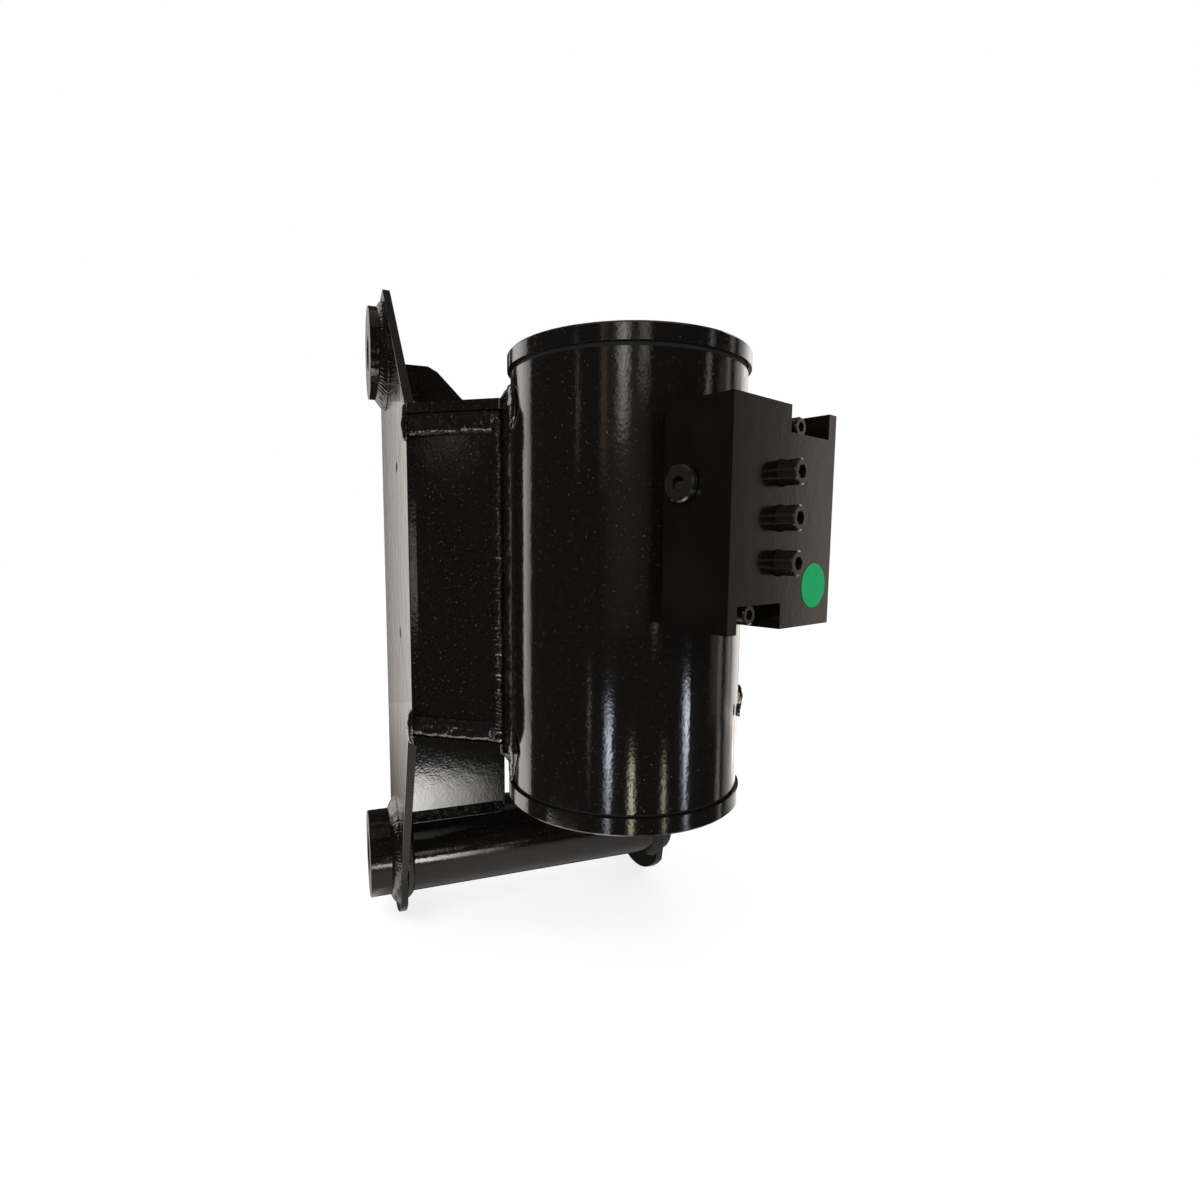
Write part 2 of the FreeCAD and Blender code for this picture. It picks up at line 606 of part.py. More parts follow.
for sign in (-1, 1):
    corners = [Vector(num("web_outer_x") - 1, sign * (num("web_outer_y") - 4.6), web_low),
               Vector(num("web_outer_x") + 2, sign * (num("web_outer_y") - 1.5), web_low),
               Vector(-leg, sign * (num("tube_radius") + 0.2), web_low),
               Vector(num("web_outer_x"), sign * (num("tube_radius") - 6), web_low)]
    bead = Part.Face(Part.makePolygon(corners + corners[:1])).extrude(Vector(0, 0, web_high - web_low))
    bead = bead.cut(cylinder(num("tube_radius") + gap, 2 * num("tube_half"),
                             Vector(0, 0, -num("tube_half")), up))
    tube_beads.append(bead)
nodes.append(feature("tube_weld_beads", Part.makeCompound(tube_beads)))

# Deep fillet welds fill the corners between each gusset and the webs' outer faces.
fillet_depth = num("fillet_depth")
overhang = num("web_inset")
gusset_beads = []
run_x = num("web_outer_x") - num("side_front") - num("nose")
rise_y = num("side_face") - num("web_outer_y")
web_length = math.hypot(run_x, rise_y)
for sign in (-1, 1):
    along = Vector(run_x / web_length, -sign * rise_y / web_length, 0)
    outward = Vector(rise_y / web_length, sign * run_x / web_length, 0)
    corner = Vector(num("side_front") + num("nose"), sign * face, 0) - outward * (overhang - gap)
    for z, drop in ((num("gusset_top") - num("plate_thick") - gap, -1),
                    (num("gusset_bottom") + num("plate_thick") + gap, 1)):
        section = []
        for out_by, down_by in ((0, 0), (overhang + 0.4, 0), (overhang + 2, 0.32), (overhang + 1, 0.7),
                                (0, 1)):
            rise = Vector(0, 0, z + drop * down_by * fillet_depth)
            section.append(corner + along * 3 + outward * out_by + rise)
        bead = Part.Face(Part.makePolygon(section + section[:1])).extrude(along * (web_length - 3))
        gusset_beads.append(bead.cut(cylinder(num("tube_radius") + gap + leg, 2 * num("tube_half"),
                                              Vector(0, 0, -num("tube_half")), up)))
nodes.append(feature("gusset_weld_beads", Part.makeCompound(gusset_beads)))

# Manifold block on a flat pad, with two diagonal notches that hold its corner screws.
turned_by = Placement(Vector(0, 0, 0), Rotation(Vector(0, 0, 1), num("block_turn")))
face_x = size("tube_radius")
front_x = size("tube_radius") + size("block_thick")
mid = size("block_mid")


def rectangle(y_low, y_high, z_low, z_high):
    return [(y_low, z_low), (y_high, z_low), (y_high, z_high), (y_low, z_high)]


pad_body = new_body("port_pad_blank")
sketch = new_sketch(pad_body, "pad_outline", "YZ_Plane", face_x - size("tube_wall") + 2)
draw_polygon(sketch, rectangle(-size("pad_half_width"), size("pad_half_width"),
                               mid - size("pad_half_height"), mid + size("pad_half_height")))
add_pad(pad_body, sketch, size("tube_wall") - 2, "pad_thickness")
sketch = new_sketch(pad_body, "pad_seat_circle", "XY_Plane")
draw_circle(sketch, 0, 0, size("tube_radius") + size("seat_gap"))
add_pocket(pad_body, sketch, size("end_z") * 4, "pad_seat", middle=True)
sketch = new_sketch(pad_body, "pad_face_outline", "YZ_Plane", face_x - size("pad_flat"))
draw_polygon(sketch, rectangle(-size("pad_half_width"), size("pad_half_width"),
                               mid - size("pad_half_height"), mid + size("pad_half_height")))
add_pad(pad_body, sketch, size("pad_flat"), "pad_face")
sketch = new_sketch(pad_body, "pad_holes_sketch", "YZ_Plane")
for step in (-1, 0, 1):
    draw_circle(sketch, size("screw_shift"), mid + size("screw_pitch") * step,
                size("screw_radius") + size("weld_gap"))
for sign in (-1, 1):
    draw_circle(sketch, size("small_screw_y") * sign, mid + size("small_screw_z") * sign,
                size("small_screw_radius") + size("weld_gap"))
    draw_circle(sketch, 0, mid + size("port_offset") * sign, size("port_radius"))
add_pocket(pad_body, sketch, size("end_z") * 4, "pad_holes", middle=True)
pad_body.Placement = turned_by

block = new_body("manifold_block")
sketch = new_sketch(block, "block_outline", "YZ_Plane", face_x)
half_w = size("block_width") / 2
half_h = size("block_height") / 2
draw_polygon(sketch, rectangle(-half_w, half_w, mid - half_h, mid + half_h))
add_pad(block, sketch, size("block_thick"), "block_solid")
for sign, name in ((1, "upper"), (-1, "lower")):
    near, far = size("notch_start") * sign, size("notch_end") * sign
    sketch = new_sketch(block, name + "_notch_outline", "YZ_Plane", face_x + size("ledge_back"))
    draw_polygon(sketch, rectangle(near, far, mid + (half_h - size("notch_depth")) * sign,
                                   mid + (half_h + 2) * sign))
    add_pocket(block, sketch, 40, name + "_notch", reverse=True)
    sketch = new_sketch(block, name + "_ledge_outline", "YZ_Plane", face_x)
    draw_polygon(sketch, rectangle(near, far, mid + (half_h - size("ledge_drop")) * sign,
                                   mid + (half_h + 2) * sign))
    add_pocket(block, sketch, size("block_thick") * 2.5, name + "_ledge", middle=True)
sketch = new_sketch(block, "block_bolt_sketch", "YZ_Plane")
for step in (-1, 0, 1):
    draw_circle(sketch, size("screw_shift"), mid + size("screw_pitch") * step, size("screw_radius") + 0.5)
for sign in (-1, 1):
    draw_circle(sketch, size("small_screw_y") * sign, mid + size("small_screw_z") * sign,
                size("small_screw_radius") + 0.5)
add_pocket(block, sketch, size("end_z") * 4, "block_bolt_holes", middle=True)
sketch = new_sketch(block, "block_port_sketch", "YZ_Plane", face_x)
for sign in (-1, 1):
    draw_circle(sketch, 0, mid + size("port_offset") * sign, size("port_radius"))
add_pocket(block, sketch, 60, "block_ports", middle=True)
sketch = new_sketch(block, "plug_port_sketch", "XZ_Plane", half_w)
draw_circle(sketch, size("plug_x"), size("plug_z"), size("plug_thread") + size("weld_gap"))
add_pocket(block, sketch, size("plug_length") * 2 + 4, "plug_port", middle=True)
block.Placement = turned_by
nodes.append(block)


def hexagon(flats, length, base, axis):
    """A hexagonal bar for a key socket."""
    across = flats / math.sqrt(3)
    points = [Vector(across * math.cos(math.radians(60 * k)), across * math.sin(math.radians(60 * k)), 0)
              for k in range(7)]
    points[6] = points[0]
    bar = Part.Face(Part.makePolygon(points)).extrude(Vector(0, 0, length))
    bar.Placement = Placement(base, Rotation(Vector(0, 0, 1), axis))
    return bar


def socket_screw(seat_point, axis, radius, head_radius, length, flats):
    """A socket head cap screw with its head's underside at the seat."""
    head_high = 2 * radius
    head_bar = cylinder(head_radius, head_high, seat_point, axis)
    rims = [edge for edge in head_bar.Edges if edge.Length > 2 * math.pi * head_radius * 0.99]
    rims = [edge for edge in rims if (edge.CenterOfMass - seat_point).dot(axis) > head_high / 2]
    head_bar = head_bar.makeChamfer(0.9, rims[:1])
    head_bar = head_bar.cut(hexagon(flats, radius, seat_point + axis * (head_high - radius), axis))
    return head_bar.fuse(cylinder(radius, length, seat_point - axis * length, axis)).removeSplitter()


def lock_washer(seat_point, axis, inner, outer, thick):
    """A split spring washer lying on its seat."""
    washer = cylinder(outer, thick, seat_point, axis).cut(cylinder(inner, thick, seat_point, axis))
    cutter = Part.makeBox(outer + 1, 1.4, thick + 2, Vector(0, -0.7, -1))
    cutter.Placement = Placement(seat_point, Rotation(Vector(0, 0, 1), axis))
    return washer.cut(cutter)


z_mid = num("block_mid")
front = num("tube_radius") + num("block_thick")
washers = []
screws = []
for step in (-1, 0, 1):
    seat_point = on_block(front, num("screw_shift"), z_mid + step * num("screw_pitch"))
    washers.append(lock_washer(seat_point, out, num("screw_radius") + 0.2, num("screw_head") + 0.6, 2.5))
    seat_point = seat_point + out * num("washer_thick")
    screws.append(socket_screw(seat_point, out, num("screw_radius"), num("screw_head"), num("screw_length"),
                               num("key_flats")))
nodes.append(feature("block_centre_screws", Part.makeCompound(screws)))
nodes.append(feature("centre_lock_washers", Part.makeCompound(washers)))
washers = []
screws = []
for sign in (-1, 1):
    seat_point = on_block(ledge, sign * num("small_screw_y"), z_mid + sign * num("small_screw_z"))
    washers.append(lock_washer(seat_point, out, num("small_screw_radius") + 0.2,
                               num("small_screw_head") + 0.3, 1.9))
    seat_point = seat_point + out * 2
    screws.append(socket_screw(seat_point, out, num("small_screw_radius"), num("small_screw_head"),
                               num("small_screw_length"), num("small_key_flats")))
nodes.append(feature("block_corner_screws", Part.makeCompound(screws)))
nodes.append(feature("corner_lock_washers", Part.makeCompound(washers)))

# Side plug of the block with its sealing ring.
plug_seat = on_block(num("plug_x"), -num("block_width") / 2, num("plug_z"))
plug_axis = side * -1
plug_head = cylinder(num("plug_radius"), num("plug_head") - 1, plug_seat + plug_axis, plug_axis)
rim = [edge for edge in plug_head.Edges
       if (edge.CenterOfMass - plug_seat).dot(plug_axis) > num("plug_head") - 0.5]
plug_head = plug_head.makeChamfer(1.0, rim[:1])
plug = plug_head.fuse(cylinder(num("plug_thread"), num("plug_length") + 1,
                               plug_seat - plug_axis * num("plug_length"), plug_axis))
plug = plug.cut(hexagon(num("plug_key"), 6, plug_seat + plug_axis * (num("plug_head") - 6), plug_axis))
nodes.append(feature("block_side_plug", plug.removeSplitter()))
seal = cylinder(num("plug_radius") - 0.8, 0.95, plug_seat, plug_axis)
seal = seal.cut(cylinder(num("plug_thread") + 0.1, 0.95, plug_seat, plug_axis))
nodes.append(feature("plug_sealing_ring", seal))

# Face seals round the two ports between block and pad.
face_seals = []
seal_grooves = []
for sign in (-1, 1):
    centre = on_block(num("tube_radius") - 1.4, 0, z_mid + sign * num("port_offset"))
    seal = cylinder(num("port_seal_radius"), 1.4, centre, out)
    face_seals.append(seal.cut(cylinder(num("port_seal_radius") - 2, 1.4, centre, out)))
    groove = cylinder(num("port_seal_radius") + 0.1, 5, centre, out)
    seal_grooves.append(groove.cut(cylinder(num("port_seal_radius") - 2.1, 5, centre, out)))
seal_tool = feature("port_seal_grooves", Part.makeCompound(seal_grooves))
nodes.append(boolean("Part::Cut", "port_pad", [pad_body, seal_tool]))
nodes.append(feature("port_face_seals", Part.makeCompound(face_seals)))

# Bleed nipple low on the housing, and the round inspection dot on the block's face.
nipple = cylinder(num("nipple_radius"), 8.4, nipple_at + nipple_out * 0.1, nipple_out)
nipple = nipple.fuse(cylinder(num("nipple_radius") + 1, 2, nipple_out * (num("tube_radius") + 0.1)
                              + Vector(0, 0, num("nipple_z")), nipple_out))
nodes.append(feature("bleed_plug", nipple.removeSplitter()))
nodes.append(feature("inspection_dot", cylinder(
    num("dot_radius"), num("dot_thick"), on_block(front, num("dot_y"), num("dot_z")), out)))

doc.recompute()

# Checks on every object, then one STEP file per node.
problems = []
for item in doc.Objects:
    state = [word for word in item.State if word in ("Invalid", "Error")]
    if state:
        problems.append("%s is %s" % (item.Name, state))
for item in nodes:
    shape = item.Shape
    if shape.isNull() or not shape.isValid():
        problems.append("%s has no valid shape" % item.Label)
if problems:
    raise RuntimeError("; ".join(problems))
os.makedirs("parts", exist_ok=True)
for item in nodes:
    item.Shape.exportStep("parts/%s.step" % item.Label)
    box = item.Shape.BoundBox
    print("%-22s solids %d volume %.0f box %.1f %.1f %.1f to %.1f %.1f %.1f" % (
        item.Label, len(item.Shape.Solids), item.Shape.Volume,
        box.XMin, box.YMin, box.ZMin, box.XMax, box.YMax, box.ZMax))
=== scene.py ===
import bmesh
import bpy
import json
import math
from mathutils import Matrix, Vector, noise


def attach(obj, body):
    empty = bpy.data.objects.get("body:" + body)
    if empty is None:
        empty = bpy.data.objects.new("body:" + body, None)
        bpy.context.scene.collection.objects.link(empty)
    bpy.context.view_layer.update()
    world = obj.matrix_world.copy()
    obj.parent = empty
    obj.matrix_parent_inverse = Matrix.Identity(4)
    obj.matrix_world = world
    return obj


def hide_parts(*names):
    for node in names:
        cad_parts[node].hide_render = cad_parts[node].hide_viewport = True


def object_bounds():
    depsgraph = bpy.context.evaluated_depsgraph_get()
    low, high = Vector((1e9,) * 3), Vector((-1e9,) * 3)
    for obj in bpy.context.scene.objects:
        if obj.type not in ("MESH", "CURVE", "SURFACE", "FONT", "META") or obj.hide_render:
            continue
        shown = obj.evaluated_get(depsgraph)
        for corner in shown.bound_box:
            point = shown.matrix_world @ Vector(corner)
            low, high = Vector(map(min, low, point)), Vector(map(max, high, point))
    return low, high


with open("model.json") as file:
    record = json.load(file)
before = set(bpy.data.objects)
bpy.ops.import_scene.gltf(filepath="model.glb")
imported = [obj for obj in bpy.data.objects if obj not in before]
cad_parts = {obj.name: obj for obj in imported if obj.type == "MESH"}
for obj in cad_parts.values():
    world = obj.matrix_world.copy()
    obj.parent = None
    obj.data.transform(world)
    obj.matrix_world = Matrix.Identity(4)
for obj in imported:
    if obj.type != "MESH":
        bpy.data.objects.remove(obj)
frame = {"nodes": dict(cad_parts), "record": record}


def corner_list(pair):
    return [list(pair[0]), list(pair[1])]


size_before = corner_list(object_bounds())
nodes = frame["nodes"]
scene = bpy.context.scene


# Materials: a small set of procedural finishes.
def material(name, colour, rough, specular=0.5, metallic=0.0):
    mat = bpy.data.materials.new(name)
    mat.use_nodes = True
    shader = mat.node_tree.nodes["Principled BSDF"]
    shader.inputs["Base Color"].default_value = (*colour, 1)
    shader.inputs["Roughness"].default_value = rough
    shader.inputs["Specular IOR Level"].default_value = specular
    shader.inputs["Metallic"].default_value = metallic
    return mat, shader


def math_node(tree, operation, *values):
    """A Math node: numbers are set on its inputs, sockets are linked to them."""
    node = tree.nodes.new("ShaderNodeMath")
    node.operation = operation
    for slot, value in enumerate(values):
        if isinstance(value, (int, float)):
            node.inputs[slot].default_value = value
        else:
            tree.links.new(value, node.inputs[slot])
    return node.outputs[0]


def add_noise(mat, scale, detail=3.0, roughness=0.5, stretch=(1, 1, 1)):
    tree = mat.node_tree
    place = tree.nodes.new("ShaderNodeTexCoord")
    mapping = tree.nodes.new("ShaderNodeMapping")
    mapping.inputs["Scale"].default_value = stretch
    grain = tree.nodes.new("ShaderNodeTexNoise")
    grain.inputs["Scale"].default_value = scale
    grain.inputs["Detail"].default_value = detail
    grain.inputs["Roughness"].default_value = roughness
    tree.links.new(place.outputs["Object"], mapping.inputs["Vector"])
    tree.links.new(mapping.outputs["Vector"], grain.inputs["Vector"])
    return grain.outputs["Fac"]


def ramp(mat, value, stops):
    node = mat.node_tree.nodes.new("ShaderNodeValToRGB")
    ends = node.color_ramp.elements
    ends[0].position, ends[1].position = stops[0][0], stops[-1][0]
    ends[0].color, ends[1].color = (*stops[0][1], 1), (*stops[-1][1], 1)
    for position, colour in stops[1:-1]:
        ends.new(position).color = (*colour, 1)
    mat.node_tree.links.new(value, node.inputs["Fac"])
    return node.outputs["Color"]


def bump(mat, shader, value, distance, under=None):
    """Raise the shader's surface by value times distance, on top of an earlier bump if one is given."""
    node = mat.node_tree.nodes.new("ShaderNodeBump")
    node.inputs["Distance"].default_value = distance
    mat.node_tree.links.new(value, node.inputs["Height"])
    if under is not None:
        mat.node_tree.links.new(under, node.inputs["Normal"])
    mat.node_tree.links.new(node.outputs["Normal"], shader.inputs["Normal"])
    return node.outputs["Normal"]


def gloss_paint(name, peel, speck=0.7, rough=0.1):
    """Sprayed black enamel: orange peel in the surface and a few specks of dust under it."""
    mat, shader = material(name, (0.003, 0.0027, 0.0025), rough, 0.42)
    dust = add_noise(mat, 900, 2.0)
    colour = ramp(mat, dust, [(0.0, (0.0026, 0.0023, 0.0021)), (speck, (0.0038, 0.0033, 0.0029)),
                              (speck + 0.015, (0.1, 0.07, 0.05)), (1.0, (0.34, 0.22, 0.15))])
    mat.node_tree.links.new(colour, shader.inputs["Base Color"])
    ripple = bump(mat, shader, add_noise(mat, 420, 2.0, 0.4), peel)
    bump(mat, shader, add_noise(mat, 60, 2.0), peel * 2.2, under=ripple)
    return mat


def grained(name, colour, rough, specular, scale, distance, metallic=0.0, stretch=(1, 1, 1)):
    """A plain finish with a fine grain in its surface."""
    mat, shader = material(name, colour, rough, specular, metallic)
    bump(mat, shader, add_noise(mat, scale, 2.0, stretch=stretch), distance)
    return mat


enamel = gloss_paint("gloss_black_enamel", 0.00006, 0.715)
plate_enamel = gloss_paint("plate_black_enamel", 0.00008)
weld_enamel = gloss_paint("weld_black_enamel", 0.0002, rough=0.16)
satin, satin_shader = material("block_black_finish", (0.002, 0.0017, 0.0014), 0.15, 0.42)
mottle = ramp(satin, add_noise(satin, 26, 4.0), [(0.3, (0.0014, 0.0012, 0.001)), (0.7, (0.0034, 0.0027, 0.002))])
satin.node_tree.links.new(mottle, satin_shader.inputs["Base Color"])
satin_grain = bump(satin, satin_shader, add_noise(satin, 500, 2.0), 0.00004)
bump(satin, satin_shader, add_noise(satin, 110, 2.0), 0.00008, under=satin_grain)
screw_black = grained("black_oxide_screw", (0.008, 0.0066, 0.0056), 0.14, 0.8, 700, 0.00002, 0.15)
steel = grained("ground_steel", (0.46, 0.45, 0.44), 0.28, 0.5, 900, 0.00001, 1.0, (1, 1, 0.1))
rubber = grained("seal_rubber", (0.02, 0.02, 0.02), 0.6, 0.3, 1200, 0.00001)
plastic = grained("bearing_plastic", (0.52, 0.46, 0.34), 0.5, 0.4, 900, 0.00001)
green, green_shader = material("green_paper_dot", (0.005, 0.314, 0.102), 0.62, 0.08)
tint = ramp(green, add_noise(green, 260, 3.0), [(0.3, (0.0045, 0.298, 0.096)), (0.7, (0.0055, 0.33, 0.108))])
green.node_tree.links.new(tint, green_shader.inputs["Base Color"])

FINISH = {
    "housing_paint": enamel, "bracket_paint": plate_enamel, "weld_paint": weld_enamel, "block_finish": satin,
    "screw_finish": screw_black, "ground_steel": steel, "bearing_plastic": plastic, "seal_rubber": rubber,
    "washer_plastic": rubber, "dot_green": green,
}
for entry in frame["record"]["subparts"]:
    mesh = nodes[entry["node"]].data
    mesh.materials.clear()
    mesh.materials.append(FINISH[entry["material_slot"]])


# Softened edges on the plates and machined pieces: (width in metres, segments) and the nodes that get them.
MERGE_DISTANCE, SHARP_ANGLE = 0.000005, math.radians(35)
SOFT_EDGES = {
    (0.003, 5): ("near_side_plate", "far_side_plate"),
    (0.0012, 3): ("top_gusset_plate", "bottom_gusset_plate", "near_rear_plate", "far_rear_plate", "near_web_plate",
                  "far_web_plate"),
    (0.0008, 2): ("near_upper_boss", "far_upper_boss", "pivot_tube", "housing_tube", "shaft", "end_cap"),
    (0.0006, 2): ("manifold_block",),
}


def soften(obj, width, segments):
    """Bevel a piece's sharp edges and shade the rest smooth."""
    mesh = obj.data
    for attribute in ("custom_normal", "sharp_edge"):
        if attribute in mesh.attributes:
            mesh.attributes.remove(mesh.attributes[attribute])
    for face in mesh.polygons:
        face.use_smooth = True
    join = obj.modifiers.new("join", "WELD")
    join.merge_threshold = MERGE_DISTANCE
    edge = obj.modifiers.new("edges", "BEVEL")
    edge.width = width
    edge.segments = segments
    edge.limit_method = "ANGLE"
    edge.angle_limit = SHARP_ANGLE
    edge.harden_normals = True
    edge.use_clamp_overlap = True


for (width, segments), names in SOFT_EDGES.items():
    for name in names:
        soften(nodes[name], width, segments)


# Weld runs: rippled beads laid along each joint, in place of the plain triangular ones. Millimetres here.
MM, STATION_STEP, BEAD_POINTS, END_SIZE = 0.001, 0.9, 11, 0.25
BEAD_SUNK, FILLET_SUNK, FILLET_HEEL, DIAGONAL = 0.3, 0.25, -0.8, 0.7
WANDER_RATE, LUMP_RATE, GRAIN_RATE, TOE_RATE = 0.11, 0.16, 0.55, 0.22


def blend_stations(stations):
    """Fill in stations (origin, u, v, scale) along a smooth line through the given ones."""
    made = []
    last = len(stations) - 1
    for k in range(last):
        p0, p1 = stations[max(k - 1, 0)][0], stations[k][0]
        p2, p3 = stations[k + 1][0], stations[min(k + 2, last)][0]
        count = max(1, int((p2 - p1).length / STATION_STEP))
        for i in range(count):
            t = i / count
            point = 0.5 * (2 * p1 + (p2 - p0) * t + (2 * p0 - 5 * p1 + 4 * p2 - p3) * t * t
                           + (3 * p1 - p0 - 3 * p2 + p3) * t * t * t)
            made.append((point,) + tuple(stations[k][n] * (1 - t) + stations[k + 1][n] * t for n in (1, 2, 3)))
    made.append(stations[-1])
    return made


def weld_run(verts, faces, stations, profile, ripple=0.3, pitch=2.6, lump=0.45, bow=0.5, closed=False,
             round_off=5.0, grain=0.18):
    """Add one bead: the profile is set on each station's u and v and roughened along its normal.

    ripple, lump and grain are heights of waves pitch apart, of broad unevenness and of fine roughness; bow bends
    the ripples, and open ends shrink over the length round_off.
    """
    seed = Vector((len(verts) * 0.37, 1.7, 9.1))
    count = len(profile)
    normals = []
    for j in range(count):
        a, b = profile[max(j - 1, 0)], profile[min(j + 1, count - 1)]
        du, dv = b[0] - a[0], b[1] - a[1]
        size = math.hypot(du, dv) or 1.0
        normals.append((-dv / size, du / size))
    turn = sum(profile[j][0] * profile[(j + 1) % count][1] - profile[(j + 1) % count][0] * profile[j][1]
               for j in range(count))
    flip = -1.0 if turn > 0 else 1.0
    middle = (sum(q[0] for q in profile) / count, sum(q[1] for q in profile) / count)
    base = len(verts)
    run = 0.0
    total = sum((stations[i + 1][0] - stations[i][0]).length for i in range(len(stations) - 1))
    for i, (origin, u, v, scale) in enumerate(stations):
        if i:
            run += (origin - stations[i - 1][0]).length
        near_end = 1.0
        if not closed:
            left = min(run, total - run) / round_off
            near_end = END_SIZE + (1 - END_SIZE) * math.sqrt(1 - (1 - left) ** 2) if left < 1 else 1.0
        for j, (a, b) in enumerate(profile):
            t = j / (count - 1)
            grow = scale * near_end
            spot = origin + u * (a * grow) + v * (b * grow)
            phase = run / pitch + bow * 4 * (t - 0.5) ** 2 + 0.5 * noise.noise(spot * WANDER_RATE + seed)
            wave = math.sin(2 * math.pi * phase)
            rough = (ripple * wave + lump * noise.noise(spot * LUMP_RATE + seed)
                     + grain * noise.noise(spot * GRAIN_RATE + seed))
            edge = math.sin(math.pi * t) ** 0.5 if 0 < t < 1 else 0.0
            toe = 0.5 * noise.noise(spot * TOE_RATE - seed) * (1 - edge)
            way = (u * normals[j][0] + v * normals[j][1]) * flip
            spread = (u * (a - middle[0]) + v * (b - middle[1])) * (0.12 * toe)
            verts.append((spot + way * (rough * edge * near_end) + spread) * MM)
    rings = len(stations)
    for i in range(rings if closed else rings - 1):
        n = (i + 1) % rings
        for j in range(count):
            k = (j + 1) % count
            here, there = base + i * count, base + n * count
            faces.append((here + j, here + k, there + k, there + j))
    if not closed:
        faces.append(tuple(base + j for j in range(count)))
        faces.append(tuple(base + (rings - 1) * count + j for j in reversed(range(count))))


def weld_piece(name, runs, *replaced):
    """Make one piece of all its runs, on the housing body, in place of the named nodes."""
    mesh = bpy.data.meshes.new(name)
    verts, faces = [], []
    for stations, profile, finish in runs:
        weld_run(verts, faces, stations, profile, **finish)
    mesh.from_pydata(verts, [], faces)
    mesh.materials.append(weld_enamel)
    form = bmesh.new()
    form.from_mesh(mesh)
    bmesh.ops.recalc_face_normals(form, faces=form.faces)
    form.to_mesh(mesh)
    form.free()
    for face in mesh.polygons:
        face.use_smooth = True
    obj = bpy.data.objects.new(name, mesh)
    scene.collection.objects.link(obj)
    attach(obj, "housing")
    if replaced:
        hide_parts(*replaced)


def rounded(width, height):
    """A half-round bead lying on its u axis, a little sunk into the plate."""
    turns = [math.pi * j / (BEAD_POINTS - 1) for j in range(BEAD_POINTS)]
    return [(-width * math.cos(turn), height * math.sin(turn) - BEAD_SUNK) for turn in turns]


def fillet(leg_u, leg_v, bulge):
    """A fillet in the corner of u and v, with a little belly and its heel sunk into the plates."""
    made = []
    for j in range(BEAD_POINTS):
        t = j / (BEAD_POINTS - 1)
        belly = bulge * math.sin(math.pi * t) * DIAGONAL
        made.append((leg_u * (1 - t) + belly - FILLET_SUNK, leg_v * t + belly - FILLET_SUNK))
    return made + [(FILLET_HEEL, FILLET_HEEL)]


def levels(low, high, count):
    """Evenly spaced heights, both ends included."""
    return [low + (high - low) * k / count for k in range(count + 1)]


def circle_run(centre, radius, axis_sign, swell=None, start=0, sweep=360):
    """Stations round a tube that runs along Y: u points away from the tube, v along it."""
    made = []
    count = int(math.radians(sweep) * radius / STATION_STEP)
    for k in range(count + (0 if sweep >= 360 else 1)):
        a = math.radians(start + sweep * k / count)
        away = Vector((math.cos(a), 0, math.sin(a)))
        made.append((centre + away * radius, away, Vector((0, axis_sign, 0)), swell(a) if swell else 1.0))
    return made


# The joints, as part.py has them: side plate faces, gusset outer faces and depth, housing radius, the web's ends
# and direction, upper bosses, pivot tube and rear plates.
FACE, BACK, GUSSET_TOP, GUSSET_LOW, GUSSET_DEPTH, RADIUS = 159.4, 151.4, 139.0, -138.0, 8, 90.0
WEB_INNER, WEB_OUTER, WEB_INSET, WEB_COS, WEB_SIN = (-24, 95.5), (-69, 159.4), 3.0, 0.817, 0.575
BOSS_X, BOSS_Z, BOSS_RADIUS = -270, 226, 46.0
PIVOT_X, PIVOT_Z, PIVOT_RADIUS = -265, -316.5, 46.6
REAR_X = -245
X_AXIS, Z_AXIS = Vector((1, 0, 0)), Vector((0, 0, 1))
GUSSET_BAND = [(-0.8, 0.2), (0.9, 0.3), (2.3, 0.9), (3.2, 2.2), (3.6, 3.8), (3.5, 5.6), (3.3, 7.8), (3.5, 10.0),
               (3.7, 11.6), (3.3, 13.4), (2.3, 15.0), (0.9, 16.3), (-0.4, 17.0), (-0.8, 17.2)]
boss_runs, pivot_runs, gusset_runs, tube_runs, rear_runs = [], [], [], [], []


def add_run(runs, stations, profile, **finish):
    runs.append((stations, profile, finish))


def deeper_below(a):
    return 1.0 + 0.28 * max(0, -math.sin(a))


